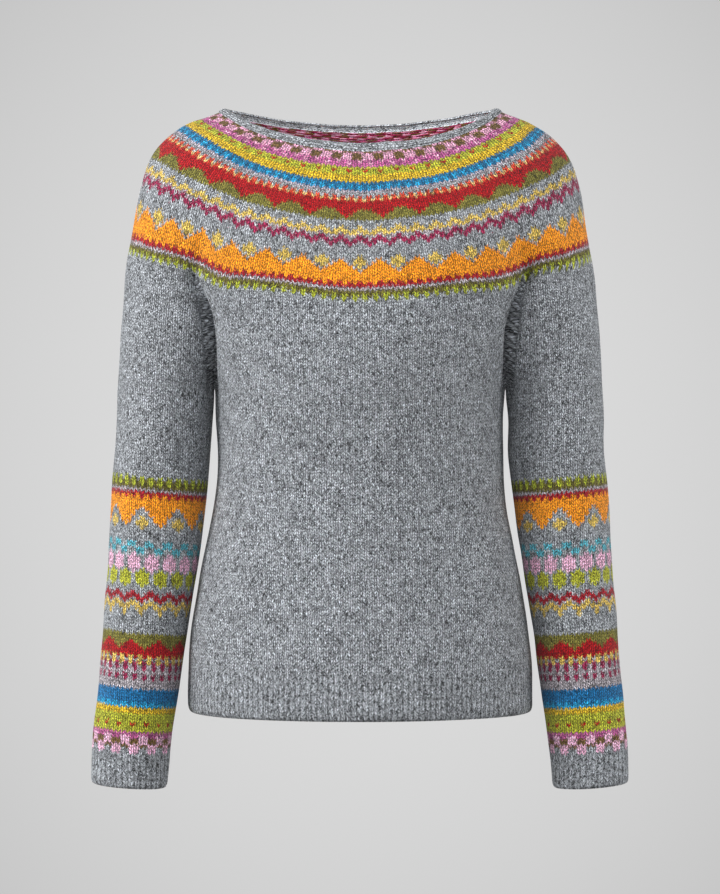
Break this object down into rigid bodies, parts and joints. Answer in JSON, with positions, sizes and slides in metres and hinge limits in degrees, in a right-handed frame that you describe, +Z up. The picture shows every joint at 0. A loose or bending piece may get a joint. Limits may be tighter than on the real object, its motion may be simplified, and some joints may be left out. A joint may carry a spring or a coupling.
{
  "type": "boat neck sweater",
  "caption": "Knitted boat neck sweater with a round patterned yoke, patterned lower sleeves and ribbed hem and cuffs, filled out as worn.",
  "frame": {"origin": "on the middle plane between left and right, level with the two tips of the neck opening, where the shoulders carry the sweater", "axes": "+Z up as worn, the front faces -Y, +X is the wearer's left"},
  "size_m": [0.514, 0.2466, 0.6533],
  "materials": {
    "heather_knit": "matte wool and acrylic stocking stitch, mottled grey",
    "pattern_knit": "matte stranded knitting in many colours on mottled grey",
    "rib_knit": "matte rib in mottled grey"
  },
  "bodies": {
    "root": {"neckband": "rib_knit", "yoke": "pattern_knit", "front": "heather_knit", "hem_front": "rib_knit", "back": "heather_knit", "hem_back": "rib_knit", "sleeve_left": "pattern_knit", "cuff_left": "rib_knit", "sleeve_right": "pattern_knit", "cuff_right": "rib_knit"}
  },
  "joints": []
}
